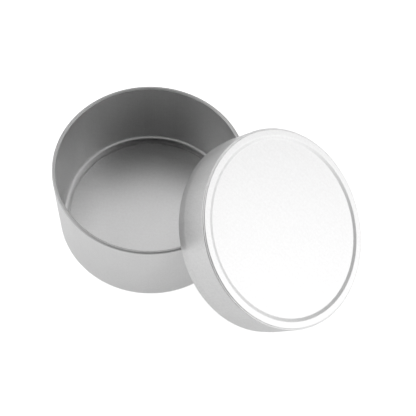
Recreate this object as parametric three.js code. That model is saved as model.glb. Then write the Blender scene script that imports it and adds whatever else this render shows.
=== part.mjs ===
import * as THREE from "three";

// Round drawn tin with its slip lid taken off and leaned on the rim. Millimetres, +Z up.
// Each piece is one sheet, drawn and rolled, so each is the middle line of its sheet thickened and revolved.

// Sheet shared by both pieces
const sheet = 0.23;
const bendStepDegrees = 30;
const turnSegments = 72;

// Tin
const tinRadius = 39.5;
const tinHeight = 40;
const rimCurlDiameter = 1.6;
const rimCurlSweepDegrees = 290;
const baseCornerRadius = 2.7;
const standingRingWidth = 0.6;
const floorRise = 0.8;
const floorStepRun = 1;
const floorStepBend = 0.5;

// Lid
const lidHeight = 17.3;
const lidClearance = 0.08;
const hemHeight = 4.5;
const hemInset = 0.35;
const hemGap = 0.04;
const hemEndSetback = 0.4;
const creaseBend = 1;
const shoulderRadius = 0.38;
const ledgeWidth = 0.62;
const ledgeDrop = 0.35;
const ledgeRiseRun = 0.15;
const ledgeBend = 0.2;
const topRingWidth = 2.44;
const panelDrop = 0.55;
const panelStepRun = 1.4;
const panelStepBend = 0.9;

// Lean of the lid on the tin's rim
const leanHeadingDegrees = -20.5;
const rimContactHalfDegrees = 45.75;
const seatGap = 0.3;

// Sizes that follow from the ones above
const halfSheet = sheet / 2;
const rimCurlRadius = rimCurlDiameter / 2;
const hemEdgeRadius = sheet + hemGap / 2;
const hemFoldRadius = hemEdgeRadius - halfSheet;
const lidRadius = tinRadius + lidClearance + 2 * hemEdgeRadius + hemInset;
const rimCircleRadius = tinRadius - rimCurlRadius;
const rimCircleHeight = tinHeight - rimCurlRadius;
const hemCircleRadius = lidRadius - hemInset - hemEdgeRadius;

const radians = THREE.MathUtils.degToRad;
const point = (radius, height) => new THREE.Vector2(radius, height);
const leftOf = (travel) => new THREE.Vector2(-travel.y, travel.x);
const directionFrom = (start, end) => end.clone().sub(start).normalize();

// An arc of the middle line from a place and a direction of travel; a left turn is positive.
function arc(start, travel, turn, radius) {
  const steps = Math.max(1, Math.ceil(Math.abs(turn) / radians(bendStepDegrees)));
  const side = Math.sign(turn);
  const centre = start.clone().addScaledVector(leftOf(travel), side * radius);
  const points = [];
  for (let step = 0; step <= steps; step += 1) {
    const normal = leftOf(travel).rotateAround(new THREE.Vector2(), (turn * step) / steps);
    points.push({ place: centre.clone().addScaledVector(normal, -side * radius), normal });
  }
  return points;
}

// Straight runs between corners, each corner rounded by a bend that is tangent to both of its runs.
function bentLine(corners) {
  const places = corners.map((corner) => corner.at);
  const line = [{ place: places[0], normal: leftOf(directionFrom(places[0], places[1])) }];
  for (let i = 1; i < corners.length - 1; i += 1) {
    const travel = directionFrom(places[i - 1], places[i]);
    const onward = directionFrom(places[i], places[i + 1]);
    const turn = Math.atan2(travel.cross(onward), travel.dot(onward));
    const reach = corners[i].bend * Math.tan(Math.abs(turn) / 2);
    const start = places[i].clone().addScaledVector(travel, -reach);
    line.push(...arc(start, travel, turn, corners[i].bend));
  }
  return line;
}

// The middle line gets half a sheet on each side, and the closed profile is turned about the axis.
function revolvedSheet(line) {
  const side = (share) => line.map(({ place, normal }) => place.clone().addScaledVector(normal, share * halfSheet));
  const profile = [...side(-1), ...side(1).reverse()];
  return new THREE.LatheGeometry(profile, turnSegments).rotateX(Math.PI / 2);
}

// Tin: raised floor panel, standing ring, base corner, straight wall and a rim curled inwards, flush outside
function tinLine() {
  const wall = tinRadius - halfSheet;
  const stepFoot = tinRadius - baseCornerRadius - standingRingWidth;
  const curlStart = point(wall, rimCircleHeight);
  const corners = [
    { at: point(0, floorRise + halfSheet) },
    { at: point(stepFoot - floorStepRun, floorRise + halfSheet), bend: floorStepBend },
    { at: point(stepFoot, halfSheet), bend: floorStepBend },
    { at: point(wall, halfSheet), bend: baseCornerRadius - halfSheet },
    { at: curlStart },
  ];
  const up = directionFrom(point(wall, 0), curlStart);
  const curl = arc(curlStart, up, radians(rimCurlSweepDegrees), rimCurlRadius - halfSheet);
  return [...bentLine(corners), ...curl];
}

// Lid, from its open edge at zero: recessed panel, raised ring, ledge, shoulder, skirt and a folded hem
function lidLine() {
  const skirt = lidRadius - halfSheet;
  const top = lidHeight - halfSheet;
  const ledge = top - ledgeDrop;
  const panel = top - panelDrop;
  const ledgeFoot = lidRadius - ledgeWidth;
  const ringOutside = ledgeFoot - ledgeRiseRun;
  const ringInside = ringOutside - topRingWidth;
  const foldStart = point(skirt - hemInset, hemEdgeRadius);
  const corners = [
    { at: point(0, panel) },
    { at: point(ringInside - panelStepRun, panel), bend: panelStepBend },
    { at: point(ringInside, top), bend: panelStepBend },
    { at: point(ringOutside, top), bend: ledgeBend },
    { at: point(ledgeFoot, ledge), bend: ledgeBend },
    { at: point(skirt, ledge), bend: shoulderRadius - halfSheet },
    { at: point(skirt, hemHeight), bend: creaseBend },
    { at: foldStart },
  ];
  const down = directionFrom(point(skirt, hemHeight), foldStart);
  const fold = arc(foldStart, down, -Math.PI, hemFoldRadius);
  const foldEnd = fold[fold.length - 1];
  const returnLength = hemHeight - hemEdgeRadius - hemEndSetback;
  const hemEnd = { place: foldEnd.place.clone().addScaledVector(down, -returnLength), normal: foldEnd.normal };
  return [...bentLine(corners), ...fold, hemEnd];
}

// The lid stands on the lowest point of its hem, and its hem rests on the rim curl at two points.
function leanTilt() {
  const halfChord = rimCircleRadius * Math.sin(radians(rimContactHalfDegrees));
  const run = hemCircleRadius + Math.sqrt(hemCircleRadius ** 2 - halfChord ** 2);
  const rise = rimCircleHeight + rimCurlRadius + seatGap;
  return Math.asin(rise / run);
}

// Distance from a point of the hem's middle circle to the rim's, with the hem's centre at a distance from the axis
function rimDistance(angle, centreDistance, tilt) {
  const along = centreDistance + hemCircleRadius * Math.cos(angle) * Math.cos(tilt);
  const across = hemCircleRadius * Math.sin(angle);
  const height = hemEdgeRadius + hemCircleRadius * Math.sin(tilt) * (1 - Math.cos(angle));
  return Math.hypot(Math.hypot(along, across) - rimCircleRadius, height - rimCircleHeight);
}

// Least of those distances: the best point of half the hem, moved by ever smaller steps until it stays
function leastDistance(centreDistance, tilt) {
  const distanceAt = (angle) => rimDistance(angle, centreDistance, tilt);
  let step = (2 * Math.PI) / turnSegments;
  let best = 0;
  for (let angle = step; angle <= Math.PI; angle += step) {
    if (distanceAt(angle) < distanceAt(best)) best = angle;
  }
  while (best + step > best) {
    if (distanceAt(best + step) < distanceAt(best)) best += step;
    else if (distanceAt(best - step) < distanceAt(best)) best -= step;
    else step /= 2;
  }
  return distanceAt(best);
}

// The lid is slid from outside towards the tin until its hem is one seat gap away from the rim.
function leanDistance(tilt) {
  const seat = rimCurlRadius + hemEdgeRadius + seatGap;
  let far = rimCircleRadius + 2 * hemCircleRadius;
  while (leastDistance(far - seatGap, tilt) >= seat) far -= seatGap;
  let near = far - seatGap;
  let between = (near + far) / 2;
  while (near < between && between < far) {
    if (leastDistance(between, tilt) < seat) near = between;
    else far = between;
    between = (near + far) / 2;
  }
  return far;
}

// Both pieces have the same fine satin silver finish.
function satinMetal() {
  return new THREE.MeshStandardMaterial({ color: 0xeeeeee, roughness: 0.42, metalness: 1 });
}

const tin = new THREE.Mesh(revolvedSheet(tinLine()), satinMetal());
tin.name = "tin_body";

const lid = new THREE.Mesh(revolvedSheet(lidLine()), satinMetal());
lid.name = "lid";
lid.position.z = -hemEdgeRadius;

const tilt = leanTilt();
const heading = radians(leanHeadingDegrees);
const distance = leanDistance(tilt);
const leaningLid = new THREE.Group();
leaningLid.rotation.set(0, tilt, heading, "ZYX");
leaningLid.position.set(
  distance * Math.cos(heading),
  distance * Math.sin(heading),
  hemEdgeRadius + hemCircleRadius * Math.sin(tilt),
);
leaningLid.add(lid);

// The origin is under the middle of the footprint, on the table.
const tinAndLid = new THREE.Group();
tinAndLid.add(tin, leaningLid);
const bounds = new THREE.Box3().setFromObject(tinAndLid, true);
const middle = bounds.getCenter(new THREE.Vector3());
tinAndLid.position.set(-middle.x, -middle.y, -bounds.min.z);

const candleTin = new THREE.Group();
candleTin.add(tinAndLid);

export default candleTin;
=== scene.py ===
import math

import bpy
import numpy as np
from mathutils import Euler, Matrix, Vector


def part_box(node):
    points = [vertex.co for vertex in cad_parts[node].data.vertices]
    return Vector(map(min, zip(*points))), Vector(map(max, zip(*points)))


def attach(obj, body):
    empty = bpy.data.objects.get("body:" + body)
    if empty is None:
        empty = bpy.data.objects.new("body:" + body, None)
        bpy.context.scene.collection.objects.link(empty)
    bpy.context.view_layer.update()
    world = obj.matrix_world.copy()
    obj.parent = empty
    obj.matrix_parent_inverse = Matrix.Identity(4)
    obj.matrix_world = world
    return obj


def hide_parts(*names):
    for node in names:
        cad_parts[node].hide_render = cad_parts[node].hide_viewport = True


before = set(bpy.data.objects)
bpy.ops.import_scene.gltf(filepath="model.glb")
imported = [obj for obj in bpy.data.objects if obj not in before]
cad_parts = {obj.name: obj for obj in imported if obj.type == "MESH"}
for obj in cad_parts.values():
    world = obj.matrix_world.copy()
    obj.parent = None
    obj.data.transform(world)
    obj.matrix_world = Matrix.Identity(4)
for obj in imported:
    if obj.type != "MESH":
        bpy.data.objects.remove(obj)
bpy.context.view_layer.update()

# The tin.
# A round cup drawn from one disc of thin tinplate, with a satin silver finish inside and out.
# Its floor is pressed up inside a narrow standing ring, and its rim is curled inwards, flush with the wall.
mm = 0.001
sheet = 0.23 * mm
wall_radius = 39.5 * mm
wall_height = 40 * mm
curl_radius = 0.8 * mm
curl_sweep = math.radians(290)
base_corner = 2.7 * mm
standing_ring = 0.6 * mm
floor_rise = 0.8 * mm
floor_step = 1.0 * mm
floor_step_bend = 0.5 * mm
turns = 288
bend_step = math.radians(10)
curl_step = math.radians(12)


def turned_left(travel):
    return np.array([-travel[1], travel[0]])


def bend(start, travel, turn, radius, step=bend_step):
    """Points of a bend of the sheet, each with the side it faces: start and travel are (outwards, up)."""
    count = max(1, math.ceil(abs(turn) / step))
    side = math.copysign(1, turn)
    centre = start + turned_left(travel) * side * radius
    points = []
    for i in range(count + 1):
        angle = turn * i / count
        cosine, sine = math.cos(angle), math.sin(angle)
        facing = np.array([[cosine, -sine], [sine, cosine]]) @ turned_left(travel)
        points.append((centre - facing * side * radius, facing))
    return points


def pressed_line(corners):
    """The sheet's middle line through corners (outwards, up, bend radius), each bend tangent to its runs."""
    places = [np.array(corner[:2], float) for corner in corners]
    travels = [(b - a) / np.linalg.norm(b - a) for a, b in zip(places, places[1:])]
    line = [(places[0], turned_left(travels[0]))]
    for place, before, after, corner in zip(places[1:], travels, travels[1:], corners[1:]):
        turn = math.atan2(before[0] * after[1] - before[1] * after[0], before @ after)
        reach = corner[2] * math.tan(abs(turn) / 2)
        line += bend(place - before * reach, before, turn, corner[2])
    return line


def flat_reach(line, count):
    """How far from the middle of the flat disc the first points of a line end."""
    places = [point for point, facing in line[:count]]
    return float(sum(np.linalg.norm(b - a) for a, b in zip(places, places[1:])))


def spun(outwards, up):
    """Rings of points round the axis, one ring for each pair of outwards and up."""
    angles = 2 * math.pi * np.arange(turns) / turns
    across = np.outer(outwards, np.cos(angles))
    deep = np.outer(outwards, np.sin(angles))
    tall = np.outer(up, np.ones(turns))
    return np.stack([across, deep, tall], axis=-1).reshape(-1, 3)


def drawn_sheet(name, line, place):
    """A sheet spun round its axis from its middle line, with the normals of its true curve.

    Each point also keeps where it was in the flat disc before drawing, as the attribute "flat sheet".
    """
    middle = np.array([point for point, facing in line])
    facings = np.array([facing for point, facing in line])
    steps = np.linalg.norm(np.diff(middle, axis=0), axis=1)
    along = np.concatenate([[0], np.cumsum(steps)])
    outline = np.concatenate([middle - facings * sheet / 2, (middle + facings * sheet / 2)[::-1]])
    looks = np.concatenate([-facings, facings[::-1]])
    flat = np.concatenate([along, along[::-1]])
    level = np.concatenate([np.zeros(len(line)), np.full(len(line), sheet)])
    points = spun(outline[:, 0], outline[:, 1])
    normals = spun(looks[:, 0], looks[:, 1])
    flats = spun(flat, level)
    cut_travel = (middle[-1] - middle[-2]) / steps[-1]
    cut_normals = spun(cut_travel[:1], cut_travel[1:])
    cut_band = len(line) - 1
    last_band = len(outline) - 2
    around = np.arange(turns)
    onward = (around + 1) % turns
    corners, sizes, corner_normals = [], [], []
    for band in range(last_band + 1):
        low, high = band * turns, (band + 1) * turns
        if band == 0:
            ring = np.stack([np.full(turns, low), high + onward, high + around], axis=1)
        elif band == last_band:
            ring = np.stack([low + around, low + onward, np.full(turns, high)], axis=1)
        else:
            ring = np.stack([low + around, low + onward, high + onward, high + around], axis=1)
        ring_normals = normals[ring]
        if band == cut_band:
            ring_normals = cut_normals[np.stack([around, onward, onward, around], axis=1)]
        corners.append(ring.ravel())
        sizes.append(np.full(turns, ring.shape[1]))
        corner_normals.append(ring_normals.reshape(-1, 3))
    corners = np.concatenate(corners)
    sizes = np.concatenate(sizes)
    starts = np.concatenate([[0], np.cumsum(sizes)[:-1]])
    used = np.unique(corners)
    renumber = np.full(len(points), -1)
    renumber[used] = np.arange(len(used))
    faces = [renumber[corners[start:start + size]].tolist() for start, size in zip(starts, sizes)]
    mesh = bpy.data.meshes.new(name)
    mesh.from_pydata(points[used].tolist(), [], faces)
    mesh.attributes.new("flat sheet", "FLOAT_VECTOR", "POINT").data.foreach_set("vector", flats[used].ravel())
    mesh.polygons.foreach_set("use_smooth", [True] * len(mesh.polygons))
    mesh.normals_split_custom_set(np.concatenate(corner_normals).tolist())
    mesh.transform(place)
    piece = bpy.data.objects.new(name, mesh)
    bpy.context.scene.collection.objects.link(piece)
    return piece


floor_edge = wall_radius - base_corner - standing_ring - floor_step
tin_line = pressed_line([
    (0, floor_rise + sheet / 2),
    (floor_edge, floor_rise + sheet / 2, floor_step_bend),
    (floor_edge + floor_step, sheet / 2, floor_step_bend),
    (wall_radius - sheet / 2, sheet / 2, base_corner - sheet / 2),
    (wall_radius - sheet / 2, wall_height - curl_radius),
])
corner_points = len(tin_line)
curl_foot = np.array([wall_radius - sheet / 2, wall_height - curl_radius])
tin_line += bend(curl_foot, np.array([0.0, 1.0]), curl_sweep, curl_radius - sheet / 2, curl_step)

tin_low, tin_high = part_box("tin_body")
tin_place = Matrix.Translation(((tin_low.x + tin_high.x) / 2, (tin_low.y + tin_high.y) / 2, tin_low.z))
tin = drawn_sheet("satin_tin", tin_line, tin_place)

# The satin finish of both pieces, a coat of tin left matte over thin rolled steel.
# It keeps the mill's rolled grain, the die's draw marks on the walls and a fine tooth all over.
# The base corner is rubbed a little brighter by the die, and the curled edge is duller and darkened with
# painted shade.
mill_line_scale = 2600
mill_line_stretch = 0.03
draw_line_scale = 160
tooth_scale = 3000
mottle_scale = 1000
cloud_scale = 55
line_share = 0.6
mottle_share = 0.9
cloud_share = 0.4
line_height_share = 0.5
wall_blend = 1 * mm
bend_blend = 0.3 * mm
tooth_strength = 0.3
tooth_depth = 0.004 * mm

satin_sheet = bpy.data.node_groups.new("satin sheet", "ShaderNodeTree")
satin_sockets = {
    "Flat Sheet": "Vector",
    "Metal": "Color",
    "Shade Depth": "Float",
    "Roughness": "Float",
    "Roughness Spread": "Float",
    "Corner Start": "Float",
    "Wall Start": "Float",
    "Edge Start": "Float",
    "Corner Shine": "Float",
    "Edge Matte": "Float",
    "Painted Edge Shade": "Float",
}
for socket_name, socket_kind in satin_sockets.items():
    satin_sheet.interface.new_socket(socket_name, in_out="INPUT", socket_type="NodeSocket" + socket_kind)
for socket_name, socket_kind in {"Colour": "Color", "Roughness": "Float", "Height": "Float"}.items():
    satin_sheet.interface.new_socket(socket_name, in_out="OUTPUT", socket_type="NodeSocket" + socket_kind)
finish_in = satin_sheet.nodes.new("NodeGroupInput")
finish_out = satin_sheet.nodes.new("NodeGroupOutput")


def worked_out(operation, first, second, clamp=False):
    node = satin_sheet.nodes.new("ShaderNodeMath")
    node.operation = operation
    node.use_clamp = clamp
    for socket, value in zip(node.inputs, (first, second)):
        if isinstance(value, (int, float)):
            socket.default_value = value
        else:
            satin_sheet.links.new(value, socket)
    return node.outputs[0]


def marks_of(vector, scale, detail=2.0, rough=0.5):
    """A noise of the finish, centred on zero."""
    node = satin_sheet.nodes.new("ShaderNodeTexNoise")
    node.inputs["Scale"].default_value = scale
    node.inputs["Detail"].default_value = detail
    node.inputs["Roughness"].default_value = rough
    satin_sheet.links.new(vector, node.inputs["Vector"])
    return worked_out("SUBTRACT", node.outputs["Fac"], 0.5)


flat_place = finish_in.outputs["Flat Sheet"]
rolled = satin_sheet.nodes.new("ShaderNodeMapping")
rolled.inputs["Scale"].default_value = (mill_line_stretch, 1.0, 1.0)
satin_sheet.links.new(flat_place, rolled.inputs["Vector"])
outward = satin_sheet.nodes.new("ShaderNodeVectorMath")
outward.operation = "NORMALIZE"
satin_sheet.links.new(flat_place, outward.inputs[0])
from_axis = satin_sheet.nodes.new("ShaderNodeVectorMath")
from_axis.operation = "LENGTH"
satin_sheet.links.new(flat_place, from_axis.inputs[0])


def past(start, blend):
    """A mask that rises to one over a short blend past a distance from the middle of the flat disc."""
    beyond = worked_out("SUBTRACT", from_axis.outputs["Value"], finish_in.outputs[start])
    return worked_out("DIVIDE", beyond, blend, clamp=True)


on_wall = past("Wall Start", wall_blend)
on_corner = worked_out("SUBTRACT", past("Corner Start", bend_blend), on_wall)
on_edge = past("Edge Start", bend_blend)
mill_lines = marks_of(rolled.outputs["Vector"], mill_line_scale, 3.0, 0.6)
draw_lines = marks_of(outward.outputs["Vector"], draw_line_scale, 3.0, 0.6)
tooth = marks_of(flat_place, tooth_scale, 2.0, 0.6)
mottle = marks_of(flat_place, mottle_scale)
cloud = marks_of(flat_place, cloud_scale, 3.0)
lines = worked_out("ADD", mill_lines, worked_out("MULTIPLY", draw_lines, on_wall))
fine = worked_out("ADD", worked_out("MULTIPLY", lines, line_share), tooth)
blotches = worked_out("MULTIPLY", cloud, cloud_share)
coarse = worked_out("ADD", worked_out("MULTIPLY", mottle, mottle_share), blotches)
marks = worked_out("ADD", fine, coarse)
fresh = worked_out("ADD", worked_out("MULTIPLY", marks, finish_in.outputs["Shade Depth"]), 1.0)
# Painted shade: the colour of the curled edge of the rim is darkened here.
tint = worked_out("SUBTRACT", fresh, worked_out("MULTIPLY", on_edge, finish_in.outputs["Painted Edge Shade"]))
metal_tint = satin_sheet.nodes.new("ShaderNodeVectorMath")
metal_tint.operation = "SCALE"
satin_sheet.links.new(finish_in.outputs["Metal"], metal_tint.inputs[0])
satin_sheet.links.new(tint, metal_tint.inputs["Scale"])
satin_sheet.links.new(metal_tint.outputs["Vector"], finish_out.inputs["Colour"])
spread = worked_out("MULTIPLY", marks, finish_in.outputs["Roughness Spread"])
shine = worked_out("MULTIPLY", on_corner, finish_in.outputs["Corner Shine"])
matte = worked_out("MULTIPLY", on_edge, finish_in.outputs["Edge Matte"])
rubbed = worked_out("ADD", finish_in.outputs["Roughness"], worked_out("SUBTRACT", matte, shine))
satin_sheet.links.new(worked_out("ADD", rubbed, spread), finish_out.inputs["Roughness"])
height = worked_out("ADD", worked_out("MULTIPLY", lines, line_height_share), tooth)
satin_sheet.links.new(height, finish_out.inputs["Height"])


def satin_metal(name, finish):
    """A metal with the satin finish, its own values given by socket name."""
    material = bpy.data.materials.new(name)
    material.use_nodes = True
    nodes, links = material.node_tree.nodes, material.node_tree.links
    shader = nodes["Principled BSDF"]
    shader.inputs["Metallic"].default_value = 1.0
    place = nodes.new("ShaderNodeAttribute")
    place.attribute_name = "flat sheet"
    satin = nodes.new("ShaderNodeGroup")
    satin.node_tree = satin_sheet
    links.new(place.outputs["Vector"], satin.inputs["Flat Sheet"])
    for socket, value in finish.items():
        satin.inputs[socket].default_value = value
    links.new(satin.outputs["Colour"], shader.inputs["Base Color"])
    links.new(satin.outputs["Roughness"], shader.inputs["Roughness"])
    bump = nodes.new("ShaderNodeBump")
    bump.inputs["Strength"].default_value = tooth_strength
    bump.inputs["Distance"].default_value = tooth_depth
    links.new(satin.outputs["Height"], bump.inputs["Height"])
    links.new(bump.outputs["Normal"], shader.inputs["Normal"])
    return material


tin.data.materials.append(satin_metal("tin satin", {
    "Metal": (0.86, 0.86, 0.86, 1),
    "Shade Depth": 0.16,
    "Roughness": 0.42,
    "Roughness Spread": 0.12,
    "Corner Start": floor_edge,
    "Wall Start": flat_reach(tin_line, corner_points),
    "Edge Start": flat_reach(tin_line, corner_points + 1),
    "Corner Shine": 0.06,
    "Edge Matte": 0.15,
    # Painted shade on the tin's curled rim.
    "Painted Edge Shade": 0.24,
}))
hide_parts("tin_body")
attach(tin, "tin")

# The lid.
# A shallow cup drawn from the same sheet, with a raised ring round a recessed flat top panel.
# Its open edge is folded inwards and pressed flat into a hem, and here it leans on the tin's rim.
lid_radius = 40.39 * mm
lid_height = 17.3 * mm
hem_height = 4.5 * mm
hem_inset = 0.35 * mm
hem_edge = 0.25 * mm
hem_setback = 0.4 * mm
crease_bend = 1 * mm
shoulder = 0.38 * mm
ledge_width = 0.62 * mm
ledge_drop = 0.35 * mm
ledge_rise_run = 0.15 * mm
ledge_bend = 0.2 * mm
ring_width = 2.44 * mm
panel_drop = 0.55 * mm
panel_step = 1.4 * mm
panel_bend = 0.9 * mm
fold_step = math.radians(20)
lid_tilt = math.radians(36.08)
lid_heading = math.radians(-20.5)

lid_skirt = lid_radius - sheet / 2
lid_top = lid_height - sheet / 2
ring_outside = lid_radius - ledge_width - ledge_rise_run
hem_foot = np.array([lid_skirt - hem_inset, hem_edge])
lid_line = pressed_line([
    (0, lid_top - panel_drop),
    (ring_outside - ring_width - panel_step, lid_top - panel_drop, panel_bend),
    (ring_outside - ring_width, lid_top, panel_bend),
    (ring_outside, lid_top, ledge_bend),
    (lid_radius - ledge_width, lid_top - ledge_drop, ledge_bend),
    (lid_skirt, lid_top - ledge_drop, shoulder - sheet / 2),
    (lid_skirt, hem_height, crease_bend),
    tuple(hem_foot),
])
crease_points = len(lid_line)
hem_down = np.array([-hem_inset, hem_edge - hem_height])
hem_down = hem_down / np.linalg.norm(hem_down)
fold = bend(hem_foot, hem_down, -math.pi, hem_edge - sheet / 2, fold_step)
lid_line += fold + [(fold[-1][0] - hem_down * (hem_height - hem_edge - hem_setback), fold[-1][1])]

lid_turn = Euler((0, lid_tilt, lid_heading), "XYZ").to_matrix().to_4x4()
lid = drawn_sheet("satin_lid", lid_line, lid_turn)
lid_low, lid_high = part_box("lid")
turned_low = Vector([min(v.co[i] for v in lid.data.vertices) for i in range(3)])
turned_high = Vector([max(v.co[i] for v in lid.data.vertices) for i in range(3)])
lid.data.transform(Matrix.Translation((lid_low + lid_high - turned_low - turned_high) / 2))
lid.data.materials.append(satin_metal("lid satin", {
    "Metal": (0.86, 0.86, 0.86, 1),
    "Shade Depth": 0.16,
    "Roughness": 0.42,
    "Roughness Spread": 0.12,
    "Corner Start": ring_outside,
    "Wall Start": lid_radius,
    "Edge Start": flat_reach(lid_line, crease_points),
}))
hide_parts("lid")
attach(lid, "lid")

# The table.
# A plain white matte table that runs out of sight, so bright that its edge is lost in the picture.
# It keeps the shadow of the tin, and the metal shows it a little dimmer than it looks.
table_size = 3.0
table_seen = 0.8
table_reflected = 0.31
table_mesh = bpy.data.meshes.new("white_table")
table_corners = [(-1, -1), (1, -1), (1, 1), (-1, 1)]
table_mesh.from_pydata([(table_size * x, table_size * y, 0) for x, y in table_corners], [], [(0, 1, 2, 3)])
table = bpy.data.objects.new("white_table", table_mesh)
bpy.context.scene.collection.objects.link(table)
white_table = bpy.data.materials.new("white table")
white_table.use_nodes = True
table_nodes, table_links = white_table.node_tree.nodes, white_table.node_tree.links
table_shader = table_nodes["Principled BSDF"]
table_shader.inputs["Base Color"].default_value = (0.9, 0.9, 0.9, 1)
table_shader.inputs["Roughness"].default_value = 0.9
table_shader.inputs["Emission Color"].default_value = (1, 1, 1, 1)
seen_by = table_nodes.new("ShaderNodeLightPath")


def table_glow(ray, strength):
    part = table_nodes.new("ShaderNodeMath")
    part.operation = "MULTIPLY"
    part.inputs[1].default_value = strength
    table_links.new(seen_by.outputs[ray], part.inputs[0])
    return part.outputs[0]


def brighter(first, second):
    node = table_nodes.new("ShaderNodeMath")
    node.operation = "MAXIMUM"
    table_links.new(first, node.inputs[0])
    table_links.new(second, node.inputs[1])
    return node.outputs[0]


seen_in_metal = table_glow("Is Glossy Ray", table_reflected)
seen_through = table_glow("Is Transmission Ray", table_reflected)
glow = brighter(table_glow("Is Camera Ray", table_seen), brighter(seen_in_metal, seen_through))
table_links.new(glow, table_shader.inputs["Emission Strength"])
table_mesh.materials.append(white_table)

# The room and its lamps.
# A pale room that fades to dark overhead and is dimmer on the side where the picture is taken from.
# Three round soft lamps stand round the table, on the right, high behind and on the left.
room_level = 1.1
palest_height = 0.024
darkest_height = 0.75
dim_side = math.radians(285)
dim_start = 0.05
dim_end = 0.95
dimmest = 0.45
lamp_distance = 1.0

room = bpy.data.worlds.new("room")
room.use_nodes = True
bpy.context.scene.world = room
room_nodes, room_links = room.node_tree.nodes, room.node_tree.links
direction = room_nodes.new("ShaderNodeTexCoord")
height_seen = room_nodes.new("ShaderNodeSeparateXYZ")
room_links.new(direction.outputs["Generated"], height_seen.inputs["Vector"])
side_seen = room_nodes.new("ShaderNodeVectorMath")
side_seen.operation = "DOT_PRODUCT"
side_seen.inputs[1].default_value = (math.cos(dim_side), math.sin(dim_side), 0)
room_links.new(direction.outputs["Generated"], side_seen.inputs[0])


def fading(value, start, end, last):
    """One up to a start, then evenly down to its last value at an end."""
    node = room_nodes.new("ShaderNodeMapRange")
    node.inputs["From Min"].default_value = start
    node.inputs["From Max"].default_value = end
    node.inputs["To Min"].default_value = 1.0
    node.inputs["To Max"].default_value = last
    room_links.new(value, node.inputs["Value"])
    return node.outputs["Result"]


room_light = room_nodes.new("ShaderNodeMath")
room_light.operation = "MULTIPLY"
room_links.new(fading(height_seen.outputs["Z"], palest_height, darkest_height, 0.0), room_light.inputs[0])
room_links.new(fading(side_seen.outputs["Value"], dim_start, dim_end, dimmest), room_light.inputs[1])
room_links.new(room_light.outputs[0], room_nodes["Background"].inputs["Color"])
room_nodes["Background"].inputs["Strength"].default_value = room_level


def softbox(name, azimuth, elevation, width, level):
    """A round soft lamp aimed at the tin, by the direction it is seen in and how bright its face is."""
    light = bpy.data.lights.new(name, "AREA")
    light.shape = "DISK"
    light.size = width
    light.energy = level * math.pi * math.pi * (width / 2) ** 2
    lamp = bpy.data.objects.new(name, light)
    bpy.context.scene.collection.objects.link(lamp)
    azimuth, elevation = math.radians(azimuth), math.radians(elevation)
    level_run = math.cos(elevation)
    towards = Vector((level_run * math.cos(azimuth), level_run * math.sin(azimuth), math.sin(elevation)))
    lamp.location = towards * lamp_distance
    lamp.rotation_euler = towards.to_track_quat("Z", "Y").to_euler()


softbox("right softbox", azimuth=-6, elevation=30, width=0.9, level=1.05)
softbox("back softbox", azimuth=80, elevation=61, width=0.92, level=1.0)
softbox("left softbox", azimuth=178, elevation=30, width=1.04, level=0.92)

# The camera that takes the picture, a long lens on a stand high in front of the tin.
# It is rolled about five degrees, as the photograph is.
camera_place = (-0.00052, -0.18657, 0.36905)
camera_lens = 82.2
camera_film = 36
camera_down = math.radians(61.30)
camera_roll = math.radians(5.13)
camera = bpy.data.objects.new("camera", bpy.data.cameras.new("camera"))
bpy.context.scene.collection.objects.link(camera)
camera.data.sensor_width = camera_film
camera.data.lens = camera_lens
camera.location = camera_place
looks_down = Matrix.Rotation(math.pi / 2 - camera_down, 4, "X")
rolls = Matrix.Rotation(camera_roll, 4, "Z")
camera.rotation_euler = (looks_down @ rolls).to_euler()
bpy.context.scene.camera = camera
bpy.context.scene.view_settings.view_transform = "Standard"
